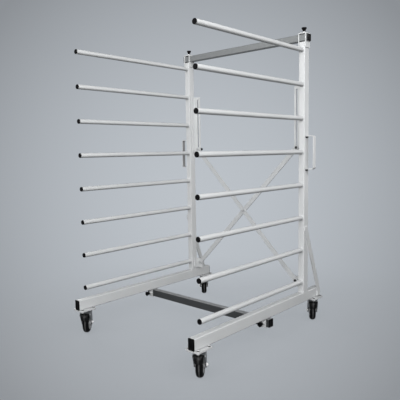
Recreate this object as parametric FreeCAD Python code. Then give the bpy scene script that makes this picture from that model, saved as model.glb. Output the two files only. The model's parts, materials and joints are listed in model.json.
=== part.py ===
import FreeCAD, Part
import math
import os

# Drying rack trolley. Two side frames of painted tube stand on swivel casters and carry eight arms each.
# Two crossbars and a pair of crossed braces join them. The braces fold, so that the right frame slides
# along the crossbars towards the left one.
# Millimetres. Z is up, the arms point to -Y and X runs to the right. The origin is on the floor.

Vector = FreeCAD.Vector

# Fits and gaps
running_clearance = 0.05   # round pin in its hole, radial
moving_gap = 0.3           # flat faces that move past each other
slide_clearance = 0.5      # crossbar in its window or strap, on every side
spigot_clearance = 0.2     # plug spigot in its tube, on every side
bolt_clearance = 0.25      # fixed bolt in its hole, radial
least_corner = 0.5         # smallest inside corner of a tube

# Base beams
track = 940.0              # between the middles of the two side frames
beam_width = 40.0
beam_height = 60.0
beam_wall = 2.5
beam_corner = 5.0
beam_lead = 61.0           # beam's front end ahead of the arms' tips, so that a loaded rack stands
beam_middle_y = -17.0      # puts the origin under the middle of the whole outline

# Posts
post_width = 40.0
post_depth = 50.0
post_wall = 2.5
post_corner = 4.0
post_height = 1510.0
post_setback = 140.0       # from the post's rear face to the beam's rear end

# Arms
arm_count = 8
arm_pitch = 200.0
arm_radius = 14.0
arm_wall = 2.0
arm_length = 927.0
first_arm_rise = 65.0      # lowest arm's axis above the beam's top

# Plugs and caps in the tube ends
plug_spigot = 16.0
beam_plug_flange = 3.0
post_plug_flange = 5.0
bar_plug_flange = 4.0
arm_cap_flange = 5.0

# Stays
stay_width = 30.0
stay_thickness = 8.0
stay_front_inset = 2.0     # from the post's front face to the stay's upper end
stay_top_rise = 411.0      # upper end above the beam's top
stay_upper_leg = 22.0      # straight stretch on the post
stay_knee_drop = 19.0      # lower bend below the beam's top
stay_lower_leg = 34.0      # straight stretch on the beam

# Crossbars
bar_size = 40.0            # both bars' depth, and the top bar's height
lower_bar_height = 45.0
bar_wall = 2.0
bar_corner = 4.0
bar_overhang = 31.0        # past the middle of each side frame
lower_bar_lead = 375.0     # lower bar's middle ahead of the post's front face

# Head brackets, over the post tops
bracket_plate = 5.0
bracket_leg = 31.0         # leg's reach below the post's top
bracket_headroom = 3.0     # between the bar and the top plate

# Straps, under the base beams
strap_width = 30.0
strap_plate = 3.0

# Threaded bosses and star knobs
boss_radius = 9.0
top_boss_height = 8.0
base_boss_height = 16.0
stud_radius = 5.0
knob_radius = 15.5
knob_rim = 6.0             # straight upper stretch of the knob
knob_taper = 12.0          # cone from the neck to the rim
knob_neck_radius = 8.5
knob_neck = 7.0
knob_lobes = 6
knob_scallop_radius = 5.5
knob_scallop_offset = 18.0   # from the knob's axis to the scallop's axis
knob_edge = 1.5

# Handles
handle_width = 25.0
handle_plate = 5.0
handle_reach = 55.0
handle_height = 202.0
handle_bend = 14.0
handle_rise = 760.0        # handle's lower edge above the beam's top

# Guide rails and pivot brackets on the inner faces of the posts
angle_plate = 5.0
angle_reach = 58.0         # web, out from the post
angle_flange = 30.0        # along the post's inner face
pivot_reach = 40.0         # pivots and slots, out from the post
pivot_rise = 57.0          # lower pivots above the beam's top
pivot_bracket_margin = 40.0   # bracket, below the pivot
pivot_bracket_height = 68.0
slot_width = 10.0
slot_travel = 350.0        # highest pin place above the lowest
rail_margin = 22.0         # rail past both ends of the pin's travel

# Crossed braces
brace_width = 30.0
brace_thickness = 5.0
brace_length = 1170.3      # between the end holes
brace_gap = 0.5            # between the braces, and from the rear one to the webs
pivot_radius = 5.0
slot_pin_radius = 4.7
collar_radius = 9.0
retainer_thickness = 4.0

# Hexagon heads and nuts
hex_flat = 15.0            # across flats, on the braces
hex_height = 6.0

# Caster mounting plates and caster plates
mount_plate_length = 106.0
mount_plate_width = 86.0
mount_plate_thickness = 5.0
front_caster_inset = 53.0  # front kingpin, in from the beam's front end
rear_caster_inset = 42.0   # rear kingpin, in from the beam's rear end
caster_plate_length = 105.0
caster_plate_width = 85.0
caster_plate_thickness = 4.0
plate_corner = 8.0
bolt_spacing_y = 80.0
bolt_spacing_x = 60.0
bolt_radius = 4.0
bolt_flat = 13.0           # across flats
bolt_head = 5.5
bolt_nut = 6.5

# Casters
caster_height = 158.0      # floor to the caster plate's top
caster_trail = 36.0
kingpin_radius = 6.0
kingpin_nut_radius = 9.5
kingpin_nut = 7.0
head_radius = 31.0         # swivel head
head_height = 14.5
bridge_thickness = 4.0     # fork's plate under the swivel head
fork_plate = 4.0
fork_inside = 54.0         # between the fork's legs
fork_front = 22.0          # legs ahead of the kingpin, at the top
fork_rear = 44.0           # legs behind the kingpin, at the top
fork_ear_radius = 15.0     # round the axle
fork_shoulder_drop = 16.0  # straight top stretch of the legs
wheel_radius = 62.5
tyre_width = 38.0
tyre_depth = 14.0
tyre_shoulder = 12.0
hub_side_gap = 0.4         # hub's boss to a leg
hub_boss_radius = 15.0
rim_width = 34.0
rim_depth = 8.0
hub_web = 12.0
axle_radius = 5.0
axle_flat = 16.0           # across flats, head and nut
axle_head = 6.0
axle_thread = 3.0          # bolt's end past its nut

# Brake pedals
pedal_width = 49.0
pedal_plate = 4.0
pedal_pivot_lead = 17.0    # pedal's pin ahead of the kingpin
pedal_pivot_drop = 8.0     # pedal's pin below the fork's bridge
pedal_hub_radius = 6.0
pedal_pin_radius = 3.0
pedal_pin_overhang = 1.5   # pin past the fork's legs
pedal_crest_lead = 25.0    # hood's upper edge ahead of the kingpin
pedal_nose_lead = 45.0     # hood's furthest point ahead of the kingpin
pedal_crest_rise = 10.0    # hood's upper edge above the pedal's pin
pedal_lip_drop = 34.0      # hood's lower edge below the pedal's pin
pedal_nose_drop = 16.0     # hood's furthest point below the pedal's pin

# Headings of the casters as they stand, in degrees from +X to where the wheel trails
front_right_angle = 125.3
front_left_angle = 132.6
rear_right_angle = 124.5
rear_left_angle = 133.5

# Places worked out from the sizes
half_track = track / 2
outer_face = half_track + post_width / 2
inner_face = half_track - post_width / 2
beam_bottom_z = caster_height + mount_plate_thickness
beam_middle_z = beam_bottom_z + beam_height / 2
beam_top_z = beam_bottom_z + beam_height
beam_length = post_setback + post_depth + arm_length + beam_lead
beam_front_y = beam_middle_y - beam_length / 2
beam_rear_y = beam_middle_y + beam_length / 2
post_rear_y = beam_rear_y - post_setback
post_front_y = post_rear_y - post_depth
post_middle_y = post_rear_y - post_depth / 2
post_top_z = beam_top_z + post_height
arm_heights = [beam_top_z + first_arm_rise + arm_pitch * level for level in range(arm_count)]
bar_length = track + 2 * bar_overhang
top_bar_bottom_z = post_top_z + post_plug_flange + moving_gap
top_bar_top_z = top_bar_bottom_z + bar_size
bracket_top_z = top_bar_top_z + bracket_headroom + bracket_plate
boss_top_z = bracket_top_z + top_boss_height
lower_bar_top_z = beam_bottom_z - strap_plate - slide_clearance
lower_bar_middle_z = lower_bar_top_z - lower_bar_height / 2
lower_bar_middle_y = post_front_y - lower_bar_lead
lower_bar_front_y = lower_bar_middle_y - bar_size / 2
strap_front_y = lower_bar_front_y - slide_clearance - strap_plate
lower_boss_front_y = strap_front_y - base_boss_height
web_front_y = post_rear_y - angle_plate
rear_brace_back_y = web_front_y - brace_gap
rear_brace_front_y = rear_brace_back_y - brace_thickness
front_brace_back_y = rear_brace_front_y - brace_gap
front_brace_front_y = front_brace_back_y - brace_thickness
pivot_x = inner_face - pivot_reach
pivot_z = beam_top_z + pivot_rise
brace_rise = math.sqrt(brace_length ** 2 - (2 * pivot_x) ** 2)
slot_pin_z = pivot_z + brace_rise
brace_middle_z = pivot_z + brace_rise / 2
kingpin_ys = {"front": beam_front_y + front_caster_inset, "rear": beam_rear_y - rear_caster_inset}
caster_plate_bottom_z = caster_height - caster_plate_thickness
head_top_z = caster_plate_bottom_z - moving_gap
bridge_top_z = head_top_z - head_height
bridge_bottom_z = bridge_top_z - bridge_thickness
fork_half = fork_inside / 2 + fork_plate
hub_width = fork_inside - 2 * hub_side_gap
pedal_pivot_z = bridge_bottom_z - pedal_pivot_drop
heading_angles = {
    "front_right": front_right_angle,
    "front_left": front_left_angle,
    "rear_right": rear_right_angle,
    "rear_left": rear_left_angle,
}


def box(x_span, y_span, z_span):
    """Block between two places on each axis."""
    corner = Vector(min(x_span), min(y_span), min(z_span))
    size = [max(span) - min(span) for span in (x_span, y_span, z_span)]
    return Part.makeBox(*size, corner)


def around(middle, size):
    """Span of a size about its middle."""
    return (middle - size / 2, middle + size / 2)


def rounded_bar(width, depth, corner, length):
    """Bar along +Z with rounded corners, centred on the Z axis."""
    x = width / 2
    y = depth / 2
    bend = corner * (1 - math.sqrt(0.5))
    edges = []
    for turn in range(4):
        along, across = (x, y) if turn % 2 == 0 else (y, x)
        start = Vector(along, corner - across, 0)
        end = Vector(along, across - corner, 0)
        middle = Vector(along - bend, across - bend, 0)
        finish = Vector(along - corner, across, 0)
        quarter = FreeCAD.Rotation(Vector(0, 0, 1), 90 * turn)
        start, end, middle, finish = [quarter.multVec(point) for point in (start, end, middle, finish)]
        edges.append(Part.LineSegment(start, end).toShape())
        edges.append(Part.Arc(end, middle, finish).toShape())
    return Part.Face(Part.Wire(edges)).extrude(Vector(0, 0, length))


def tube(width, depth, corner, wall, length):
    """Hollow bar along +Z, open at both ends."""
    inside_corner = max(corner - wall, least_corner)
    outside = rounded_bar(width, depth, corner, length)
    return outside.cut(rounded_bar(width - 2 * wall, depth - 2 * wall, inside_corner, length))


def end_plug(width, depth, corner, wall, flange):
    """Plug for a tube end at Z = 0: flange above, spigot below."""
    inset = wall + spigot_clearance
    inside_corner = max(corner - wall, least_corner)
    head = rounded_bar(width, depth, corner, flange)
    spigot = rounded_bar(width - 2 * inset, depth - 2 * inset, inside_corner, plug_spigot)
    spigot.translate(Vector(0, 0, -plug_spigot))
    return head.fuse(spigot).removeSplitter()


def facing(shape, direction):
    """Turn a shape made along +Z to face another way."""
    turns = {
        "+X": (Vector(0, 1, 0), 90),
        "-X": (Vector(0, 1, 0), -90),
        "+Y": (Vector(1, 0, 0), -90),
        "-Y": (Vector(1, 0, 0), 90),
    }
    axis, angle = turns[direction]
    turned = shape.copy()
    turned.rotate(Vector(0, 0, 0), axis, angle)
    return turned


def moved(shape, x, y, z):
    """Copy of a shape at another place."""
    copy = shape.copy()
    copy.translate(Vector(x, y, z))
    return copy


def rod_y(radius, x, z, y_span):
    """Round bar along Y."""
    return Part.makeCylinder(radius, max(y_span) - min(y_span), Vector(x, min(y_span), z), Vector(0, 1, 0))


def rod_z(radius, x, y, z_span):
    """Round bar along Z."""
    return Part.makeCylinder(radius, max(z_span) - min(z_span), Vector(x, y, min(z_span)), Vector(0, 0, 1))


def hexagon(across_flats, height):
    """Hexagon prism along +Z on Z = 0."""
    reach = across_flats / math.sqrt(3)
    angles = [math.radians(60 * side) for side in range(7)]
    points = [Vector(reach * math.cos(angle), reach * math.sin(angle), 0) for angle in angles]
    return Part.Face(Part.makePolygon(points)).extrude(Vector(0, 0, height))


def plate_yz(points, x_span):
    """Flat plate from an outline of (y, z) points, thick along X."""
    outline = [Vector(min(x_span), y, z) for y, z in points]
    face = Part.Face(Part.makePolygon(outline + outline[:1]))
    return face.extrude(Vector(max(x_span) - min(x_span), 0, 0))


def ribbon(points, width):
    """Outline of a bent flat bar of even width along (y, z) points, mitred at its bends."""
    normals = []
    for start, end in zip(points, points[1:]):
        length = math.dist(start, end)
        normals.append(((start[1] - end[1]) / length, (end[0] - start[0]) / length))
    before = [normals[0]] + normals
    after = normals + [normals[-1]]
    sides = ([], [])
    for point, first, second in zip(points, before, after):
        mitre = 1 + first[0] * second[0] + first[1] * second[1]
        offset = [width / 2 * (first[axis] + second[axis]) / mitre for axis in (0, 1)]
        sides[0].append((point[0] + offset[0], point[1] + offset[1]))
        sides[1].append((point[0] - offset[0], point[1] - offset[1]))
    return sides[0] + sides[1][::-1]


def base_beam():
    """Beam tube with a mounting plate welded under each end."""
    beam = facing(tube(beam_width, beam_height, beam_corner, beam_wall, beam_length), "+Y")
    beam.translate(Vector(half_track, beam_front_y, beam_middle_z))
    for kingpin_y in kingpin_ys.values():
        plate = rounded_bar(mount_plate_width, mount_plate_length, plate_corner, mount_plate_thickness)
        plate.translate(Vector(half_track, kingpin_y, caster_height))
        for x, y in bolt_places(kingpin_y):
            hole = rod_z(bolt_radius + bolt_clearance, x, y, (caster_height, beam_bottom_z))
            plate = plate.cut(hole)
        beam = beam.fuse(plate)
    return beam


def bolt_places(kingpin_y):
    """Places of the four bolts of a caster plate."""
    return [(x, y) for x in around(half_track, bolt_spacing_x) for y in around(kingpin_y, bolt_spacing_y)]


def post():
    """Post tube on the beam."""
    return moved(tube(post_width, post_depth, post_corner, post_wall, post_height),
                 half_track, post_middle_y, beam_top_z)


def stay():
    """Flat bar on the outer faces of the post and the beam, bent at both ends."""
    top_y = post_front_y + stay_front_inset + stay_width / 2
    foot_y = beam_rear_y - stay_width / 2
    top_z = beam_top_z + stay_top_rise
    knee_z = beam_top_z - stay_knee_drop
    upper = [(top_y, top_z), (top_y, top_z - stay_upper_leg)]
    lower = [(foot_y, knee_z), (foot_y, knee_z - stay_lower_leg)]
    return plate_yz(ribbon(upper + lower, stay_width), (outer_face, outer_face + stay_thickness))


def arm(height):
    """Round tube from the post's front face."""
    span = (post_front_y - arm_length, post_front_y)
    outside = rod_y(arm_radius, half_track, height, span)
    return outside.cut(rod_y(arm_radius - arm_wall, half_track, height, span))


def end_plugs():
    """Caps on the arms, and plugs in the beam's ends and the post's top."""
    tip_y = post_front_y - arm_length
    spigot_radius = arm_radius - arm_wall - spigot_clearance
    plugs = []
    for height in arm_heights:
        cap = rod_y(arm_radius, half_track, height, (tip_y - arm_cap_flange, tip_y))
        spigot = rod_y(spigot_radius, half_track, height, (tip_y, tip_y + plug_spigot))
        plugs.append(cap.fuse(spigot))
    beam_plug = end_plug(beam_width, beam_height, beam_corner, beam_wall, beam_plug_flange)
    plugs.append(moved(facing(beam_plug, "-Y"), half_track, beam_front_y, beam_middle_z))
    plugs.append(moved(facing(beam_plug, "+Y"), half_track, beam_rear_y, beam_middle_z))
    post_plug = end_plug(post_width, post_depth, post_corner, post_wall, post_plug_flange)
    plugs.append(moved(post_plug, half_track, post_middle_y, post_top_z))
    return Part.makeCompound(plugs)


def head_bracket():
    """Inverted U of plate over the post's top, with windows for the crossbar and a threaded boss."""
    leg_bottom_z = post_top_z - bracket_leg
    plate_bottom_z = bracket_top_z - bracket_plate
    depth = (post_front_y, post_rear_y)
    body = box(around(half_track, post_width + 2 * bracket_plate), depth, (leg_bottom_z, bracket_top_z))
    inside = box(around(half_track, post_width), depth, (leg_bottom_z, plate_bottom_z))
    window = box(around(half_track, post_width + 2 * bracket_plate),
                 around(post_middle_y, bar_size + 2 * slide_clearance),
                 (top_bar_bottom_z - slide_clearance, top_bar_top_z + slide_clearance))
    boss = rod_z(boss_radius, half_track, post_middle_y, (bracket_top_z, boss_top_z))
    thread = rod_z(stud_radius + running_clearance, half_track, post_middle_y, (plate_bottom_z, boss_top_z))
    return body.cut(inside).cut(window).fuse(boss).cut(thread)


def handle():
    """Flat bar bent to a bow on the post's outer face."""
    bottom_z = beam_top_z + handle_rise
    outside = rounded_bar(2 * handle_reach, handle_height, handle_bend, handle_width)
    opening = rounded_bar(2 * (handle_reach - handle_plate), handle_height - 2 * handle_plate,
                          handle_bend - handle_plate, handle_width)
    bow = facing(outside.cut(opening), "+Y")
    bow.translate(Vector(outer_face, post_middle_y - handle_width / 2, bottom_z + handle_height / 2))
    keep = box((outer_face, outer_face + handle_reach), around(post_middle_y, handle_width),
               (bottom_z, bottom_z + handle_height))
    return bow.common(keep)


def angle_section(z_span):
    """Angle on the post's inner face: flange on the post, web at the rear."""
    web = box((inner_face - angle_reach, inner_face), (web_front_y, post_rear_y), z_span)
    flange = box((inner_face - angle_plate, inner_face), (post_rear_y - angle_flange, post_rear_y), z_span)
    return web.fuse(flange).removeSplitter()


def guide_rail():
    """Angle with the slot for the upper pin."""
    top_pin_z = slot_pin_z + slot_travel
    rail = angle_section((slot_pin_z - rail_margin, top_pin_z + rail_margin))
    depth = (web_front_y, post_rear_y)
    slot = box(around(pivot_x, slot_width), depth, (slot_pin_z, top_pin_z))
    for end_z in (slot_pin_z, top_pin_z):
        slot = slot.fuse(rod_y(slot_width / 2, pivot_x, end_z, depth))
    return rail.cut(slot)


def pivot_bracket():
    """Short angle with the hole for the lower pivot."""
    bottom_z = pivot_z - pivot_bracket_margin
    bracket = angle_section((bottom_z, bottom_z + pivot_bracket_height))
    return bracket.cut(rod_y(pivot_radius + running_clearance, pivot_x, pivot_z, (web_front_y, post_rear_y)))


def bar_strap():
    """Strap round the lower crossbar under the beam, with a threaded boss in front."""
    depth = bar_size + 2 * slide_clearance
    height = lower_bar_height + 2 * slide_clearance
    x_span = around(half_track, strap_width)
    bottom_z = lower_bar_middle_z - height / 2 - strap_plate
    outside = box(x_span, around(lower_bar_middle_y, depth + 2 * strap_plate), (bottom_z, beam_bottom_z))
    inside = box(x_span, around(lower_bar_middle_y, depth), around(lower_bar_middle_z, height))
    boss = rod_y(boss_radius, half_track, lower_bar_middle_z, (lower_boss_front_y, strap_front_y))
    thread = rod_y(stud_radius + running_clearance, half_track, lower_bar_middle_z,
                   (lower_boss_front_y, strap_front_y + strap_plate))
    return outside.cut(inside).fuse(boss).cut(thread)


def caster_plates():
    """Two caster plates with their kingpins, and the bolts and nuts that hold them."""
    pieces = []
    for kingpin_y in kingpin_ys.values():
        plate = rounded_bar(caster_plate_width, caster_plate_length, plate_corner, caster_plate_thickness)
        plate.translate(Vector(half_track, kingpin_y, caster_plate_bottom_z))
        nut_top_z = bridge_bottom_z - moving_gap
        nut_bottom_z = nut_top_z - kingpin_nut
        pin = rod_z(kingpin_radius, half_track, kingpin_y, (nut_bottom_z, caster_height))
        nut = rod_z(kingpin_nut_radius, half_track, kingpin_y, (nut_bottom_z, nut_top_z))
        plate = plate.fuse(pin).fuse(nut)
        for x, y in bolt_places(kingpin_y):
            hole = rod_z(bolt_radius + bolt_clearance, x, y, (caster_plate_bottom_z, caster_height))
            plate = plate.cut(hole)
            pieces.append(plate_bolt(x, y))
        pieces.append(plate)
    return Part.makeCompound(pieces)


def plate_bolt(x, y):
    """Bolt and nut through a mounting plate and a caster plate."""
    head = moved(hexagon(bolt_flat, bolt_head), x, y, beam_bottom_z)
    nut = moved(hexagon(bolt_flat, bolt_nut), x, y, caster_plate_bottom_z - bolt_nut)
    shank = rod_z(bolt_radius, x, y, (caster_plate_bottom_z - bolt_nut, beam_bottom_z))
    return head.fuse(shank).fuse(nut)


def crossbar(height, y, z):
    """Tube of one height across both side frames."""
    bar = facing(tube(height, bar_size, bar_corner, bar_wall, bar_length), "+X")
    return moved(bar, -bar_length / 2, y, z)


def crossbar_plugs():
    """Plugs in both ends of both crossbars."""
    plugs = []
    for height, y, z in (top_bar_place, lower_bar_place):
        plug = end_plug(height, bar_size, bar_corner, bar_wall, bar_plug_flange)
        plugs.append(moved(facing(plug, "+X"), bar_length / 2, y, z))
        plugs.append(moved(facing(plug, "-X"), -bar_length / 2, y, z))
    return Part.makeCompound(plugs)


def star_knob(stud_length):
    """Star knob along +Z with its neck on Z = 0 and its stud below."""
    rim_bottom = knob_neck + knob_taper
    head_top = rim_bottom + knob_rim
    rim = rod_z(knob_radius, 0, 0, (rim_bottom, head_top))
    top_edges = [edge for edge in rim.Edges if edge.Closed and edge.CenterOfMass.z > head_top - knob_edge]
    cone = Part.makeCone(knob_neck_radius, knob_radius, knob_taper, Vector(0, 0, knob_neck))
    head = rim.makeFillet(knob_edge, top_edges).fuse(cone)
    for lobe in range(knob_lobes):
        angle = 2 * math.pi * lobe / knob_lobes
        x = knob_scallop_offset * math.cos(angle)
        y = knob_scallop_offset * math.sin(angle)
        head = head.cut(rod_z(knob_scallop_radius, x, y, (knob_neck, head_top)))
    neck = rod_z(knob_neck_radius, 0, 0, (0, knob_neck))
    stud = rod_z(stud_radius, 0, 0, (-stud_length, 0))
    return head.fuse(neck).fuse(stud)


def top_knob():
    """Knob over the head bracket. Its stud reaches down to the top crossbar."""
    base_z = boss_top_z + moving_gap
    return moved(star_knob(base_z - top_bar_top_z - moving_gap), half_track, post_middle_y, base_z)


def base_knob():
    """Knob in front of the strap. Its stud reaches back to the lower crossbar."""
    base_y = lower_boss_front_y - moving_gap
    knob = facing(star_knob(lower_bar_front_y - base_y - moving_gap), "-Y")
    return moved(knob, half_track, base_y, lower_bar_middle_z)


def brace(side, y_span, lower_hole, middle_hole, upper_hole):
    """Flat bar with round ends, from the lower pivot on its side (+1 right, -1 left) to the other slot."""
    lower = Vector(side * pivot_x, min(y_span), pivot_z)
    upper = Vector(-side * pivot_x, min(y_span), slot_pin_z)
    along = (upper - lower).normalize()
    across = Vector(along.z, 0, -along.x) * (brace_width / 2)
    edges = [
        Part.LineSegment(lower + across, upper + across).toShape(),
        Part.Arc(upper + across, upper + along * (brace_width / 2), upper - across).toShape(),
        Part.LineSegment(upper - across, lower - across).toShape(),
        Part.Arc(lower - across, lower - along * (brace_width / 2), lower + across).toShape(),
    ]
    bar = Part.Face(Part.Wire(edges)).extrude(Vector(0, max(y_span) - min(y_span), 0))
    for radius, x, z in ((lower_hole, side * pivot_x, pivot_z), (middle_hole, 0, brace_middle_z),
                         (upper_hole, -side * pivot_x, slot_pin_z)):
        bar = bar.cut(rod_y(radius, x, z, y_span))
    return bar


def rear_brace():
    """Brace from the lower left pivot to the right slot."""
    span = (rear_brace_front_y, rear_brace_back_y)
    return brace(-1, span, pivot_radius, pivot_radius, slot_pin_radius)


def front_brace():
    """Brace from the lower right pivot to the left slot. It turns on the centre bolt."""
    span = (front_brace_front_y, front_brace_back_y)
    return brace(1, span, pivot_radius, pivot_radius + running_clearance, slot_pin_radius)


def hex_at(x, z, y_span):
    """Hexagon head or nut along Y."""
    return moved(facing(hexagon(hex_flat, max(y_span) - min(y_span)), "+Y"), x, min(y_span), z)


def web_pin(radius, x, z, front_y, collar_y):
    """Pin with its head on a brace, a collar where the brace stands off the web, and a retainer behind."""
    retainer_y = post_rear_y + moving_gap
    end_y = retainer_y + retainer_thickness
    pin = rod_y(radius, x, z, (front_y, end_y))
    pin = pin.fuse(hex_at(x, z, (front_y - hex_height, front_y)))
    pin = pin.fuse(rod_y(collar_radius, x, z, (retainer_y, end_y)))
    if collar_y < rear_brace_back_y:
        pin = pin.fuse(rod_y(collar_radius, x, z, (collar_y, rear_brace_back_y)))
    return pin


def rear_brace_pins():
    """Centre bolt with its nut, lower left pivot and upper right slot pin."""
    head_y = front_brace_front_y - moving_gap
    nut_y = rear_brace_back_y + hex_height
    bolt = rod_y(pivot_radius, 0, brace_middle_z, (head_y, nut_y))
    bolt = bolt.fuse(hex_at(0, brace_middle_z, (head_y - hex_height, head_y)))
    bolt = bolt.fuse(hex_at(0, brace_middle_z, (rear_brace_back_y, nut_y)))
    pivot = web_pin(pivot_radius, -pivot_x, pivot_z, rear_brace_front_y, rear_brace_back_y)
    slot_pin = web_pin(slot_pin_radius, pivot_x, slot_pin_z, rear_brace_front_y, rear_brace_back_y)
    return Part.makeCompound([bolt, pivot, slot_pin])


def front_brace_pins():
    """Lower right pivot and upper left slot pin, with collars that fill the rear brace's thickness."""
    pivot = web_pin(pivot_radius, pivot_x, pivot_z, front_brace_front_y, front_brace_back_y)
    slot_pin = web_pin(slot_pin_radius, -pivot_x, slot_pin_z, front_brace_front_y, front_brace_back_y)
    return Part.makeCompound([pivot, slot_pin])


# A caster is made about its kingpin, trailing to +X, with its axle along Y.

def leg_profile():
    """Outline of a fork leg as (x, z) points, without the round end at the axle."""
    shoulder_z = bridge_top_z - fork_shoulder_drop
    return [(-fork_front, bridge_top_z), (fork_rear, bridge_top_z), (fork_rear, shoulder_z),
            (caster_trail + fork_ear_radius, wheel_radius), (caster_trail - fork_ear_radius, wheel_radius),
            (-fork_front, shoulder_z)]


def fork():
    """Fork with its swivel head, and the axle bolt and pedal pin in it."""
    body = rod_z(head_radius, 0, 0, (bridge_top_z, head_top_z))
    bridge = box((-fork_front, fork_rear), (-fork_half, fork_half), (bridge_bottom_z, bridge_top_z))
    body = body.fuse(bridge)
    for inner_y, outer_y in ((fork_inside / 2, fork_half), (-fork_inside / 2, -fork_half)):
        outline = [Vector(x, inner_y, z) for x, z in leg_profile()]
        leg = Part.Face(Part.makePolygon(outline + outline[:1])).extrude(Vector(0, outer_y - inner_y, 0))
        leg = leg.fuse(rod_y(fork_ear_radius, caster_trail, wheel_radius, (inner_y, outer_y)))
        body = body.fuse(leg)
    body = body.cut(rod_z(kingpin_radius + running_clearance, 0, 0, (bridge_bottom_z, head_top_z)))
    through = (-fork_half, fork_half)
    body = body.cut(rod_y(axle_radius, caster_trail, wheel_radius, through))
    body = body.cut(rod_y(pedal_pin_radius, -pedal_pivot_lead, pedal_pivot_z, through))
    nut_end = -fork_half - axle_head
    axle = rod_y(axle_radius, caster_trail, wheel_radius, (nut_end - axle_thread, fork_half + axle_head))
    for start_y in (nut_end, fork_half):
        hexagon_end = facing(hexagon(axle_flat, axle_head), "+Y")
        axle = axle.fuse(moved(hexagon_end, caster_trail, start_y, wheel_radius))
    overhang = fork_half + pedal_pin_overhang
    pedal_pin = rod_y(pedal_pin_radius, -pedal_pivot_lead, pedal_pivot_z, (-overhang, overhang))
    return Part.makeCompound([body.removeSplitter(), axle, pedal_pin])


def wheel():
    """Tyre on a hub with recessed faces."""
    def disc(radius, width):
        return rod_y(radius, caster_trail, wheel_radius, around(0, width))

    tyre_inside = wheel_radius - tyre_depth
    tread = disc(wheel_radius, tyre_width)
    shoulders = [edge for edge in tread.Edges if edge.Closed]
    tyre = tread.makeFillet(tyre_shoulder, shoulders).cut(disc(tyre_inside, tyre_width))
    rim = disc(tyre_inside, rim_width).cut(disc(tyre_inside - rim_depth, rim_width))
    hub = rim.fuse(disc(tyre_inside - rim_depth, hub_web)).fuse(disc(hub_boss_radius, hub_width))
    hub = hub.cut(disc(axle_radius + running_clearance, hub_width)).removeSplitter()
    return Part.makeCompound([tyre, hub])


def pedal_hood():
    """Curved hood of the pedal: an outer arc and an inner arc, one plate apart."""
    def arc_points(inset):
        crest = (-pedal_crest_lead, pedal_pivot_z + pedal_crest_rise - inset)
        nose = (inset - pedal_nose_lead, pedal_pivot_z - pedal_nose_drop)
        lip = (inset - pedal_nose_lead + pedal_plate, pedal_pivot_z - pedal_lip_drop)
        return [Vector(x, -pedal_width / 2, z) for x, z in (crest, nose, lip)]

    outer = arc_points(0)
    inner = arc_points(pedal_plate)
    edges = [
        Part.Arc(outer[0], outer[1], outer[2]).toShape(),
        Part.LineSegment(outer[2], inner[2]).toShape(),
        Part.Arc(inner[2], inner[1], inner[0]).toShape(),
        Part.LineSegment(inner[0], outer[0]).toShape(),
    ]
    return Part.Face(Part.Wire(edges)).extrude(Vector(0, pedal_width, 0))


def brake_pedal():
    """Hood over the wheel's near end, on a hub that turns on the pedal's pin."""
    width = around(0, fork_inside - 2 * moving_gap)
    hub = rod_y(pedal_hub_radius, -pedal_pivot_lead, pedal_pivot_z, width)
    arm_end = -pedal_crest_lead - pedal_plate
    arm_plate = box((arm_end, -pedal_pivot_lead), width, (pedal_pivot_z, pedal_pivot_z + pedal_hub_radius))
    pedal = hub.fuse(arm_plate).fuse(pedal_hood())
    bore = rod_y(pedal_pin_radius + running_clearance, -pedal_pivot_lead, pedal_pivot_z, width)
    return pedal.cut(bore)


def at_corner(shape, corner):
    """Caster piece at its kingpin and heading."""
    end, side = corner.split("_")
    x = half_track if side == "right" else -half_track
    turned = shape.copy()
    turned.rotate(Vector(0, 0, 0), Vector(0, 0, 1), heading_angles[corner])
    return moved(turned, x, kingpin_ys[end], 0)


def mirrored(shape):
    """The left frame's piece from the right frame's."""
    return shape.mirror(Vector(0, 0, 0), Vector(1, 0, 0))


top_bar_place = (bar_size, post_middle_y, top_bar_bottom_z + bar_size / 2)
lower_bar_place = (lower_bar_height, lower_bar_middle_y, lower_bar_middle_z)


def all_pieces():
    """Every node's name and shape."""
    side_pieces = {
        "base_beam": base_beam(),
        "post": post(),
        "stay": stay(),
        "end_plugs": end_plugs(),
        "head_bracket": head_bracket(),
        "handle": handle(),
        "guide_rail": guide_rail(),
        "pivot_bracket": pivot_bracket(),
        "bar_strap": bar_strap(),
        "caster_plates": caster_plates(),
        "top_knob": top_knob(),
        "base_knob": base_knob(),
    }
    for level, height in enumerate(arm_heights, start=1):
        side_pieces[f"arm_{level}"] = arm(height)
    pieces = {}
    for name, shape in side_pieces.items():
        pieces["right_" + name] = shape
        pieces["left_" + name] = mirrored(shape)
    pieces["top_crossbar"] = crossbar(*top_bar_place)
    pieces["bottom_crossbar"] = crossbar(*lower_bar_place)
    pieces["crossbar_plugs"] = crossbar_plugs()
    pieces["rear_brace"] = rear_brace()
    pieces["front_brace"] = front_brace()
    pieces["rear_brace_pins"] = rear_brace_pins()
    pieces["front_brace_pins"] = front_brace_pins()
    caster_pieces = {"fork": fork(), "wheel": wheel(), "brake_pedal": brake_pedal()}
    for corner in heading_angles:
        for name, shape in caster_pieces.items():
            pieces[f"{corner}_{name}"] = at_corner(shape, corner)
    return pieces


def main():
    os.makedirs("parts", exist_ok=True)
    for name, shape in all_pieces().items():
        shape.exportStep(f"parts/{name}.step")


if __name__ == "__main__":
    main()
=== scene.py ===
import json
import math

import bmesh
import bpy
from mathutils import Matrix, Vector


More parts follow.
